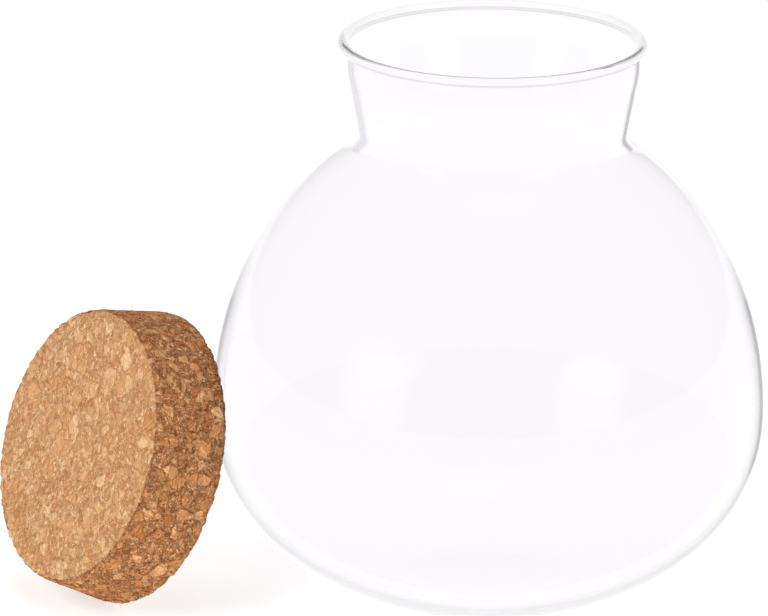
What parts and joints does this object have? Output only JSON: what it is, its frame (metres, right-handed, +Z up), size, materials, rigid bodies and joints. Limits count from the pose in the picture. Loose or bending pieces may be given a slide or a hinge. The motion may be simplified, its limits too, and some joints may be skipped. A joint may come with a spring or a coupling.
{
  "type": "glass terrarium jar",
  "caption": "Round clear glass terrarium jar with a flared neck and rolled lip; its tapered cork stopper is off and leans against the belly.",
  "frame": {"origin": "centre of the jar's flat base, on the surface that it stands on", "axes": "+Z up along the jar's axis, out of its mouth; the stopper leans at -X; the picture looks along +Y"},
  "size_m": [0.2527, 0.1822, 0.1886],
  "materials": {
    "clear_glass": "polished",
    "cork": "matte"
  },
  "bodies": {
    "jar": {"glass_jar": "clear_glass"},
    "stopper": {"cork_stopper": "cork"}
  },
  "joints": [
    {"name": "stopper_lift", "type": "slide", "parent": "jar", "child": "stopper", "axis": [0, 0, 1], "range_m": [0, 0.2]}
  ]
}
